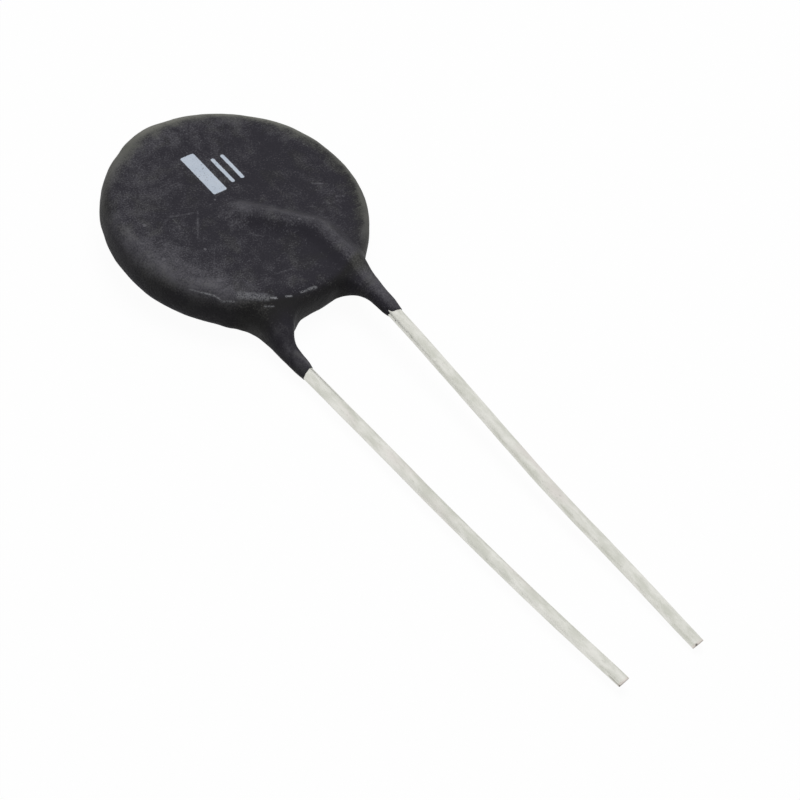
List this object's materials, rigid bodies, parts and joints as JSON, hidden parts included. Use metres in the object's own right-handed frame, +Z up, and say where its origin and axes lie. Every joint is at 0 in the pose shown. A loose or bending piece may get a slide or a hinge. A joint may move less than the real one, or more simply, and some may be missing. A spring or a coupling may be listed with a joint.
{
  "type": "ntc thermistor",
  "caption": "Radial-lead NTC thermistor: a ceramic disc under black dipped resin, which runs down in tapered necks over its straight tinned wire leads.",
  "frame": {"origin": "on the ground below the middle of the object's bounding box, with the object lying as it comes to rest", "axes": "+Z up, across the disc's faces; +Y from the lead tips towards the disc; +X across both leads, towards the upper one"},
  "size_m": [0.0202, 0.0604, 0.0051],
  "materials": {
    "resin_coating": "matt dipped resin, slightly dusty",
    "ceramic_disc": "sintered, matt",
    "electrode_upper": null,
    "electrode_lower": null,
    "solder_upper": null,
    "solder_lower": null,
    "lead_upper": null,
    "lead_lower": null
  },
  "bodies": {
    "root": {"resin_coating": "resin_coating", "ceramic_disc": "ceramic_disc", "electrode_upper": "electrode_upper", "electrode_lower": "electrode_lower", "solder_upper": "solder_upper", "solder_lower": "solder_lower", "lead_upper": "lead_upper", "lead_lower": "lead_lower"}
  },
  "joints": []
}
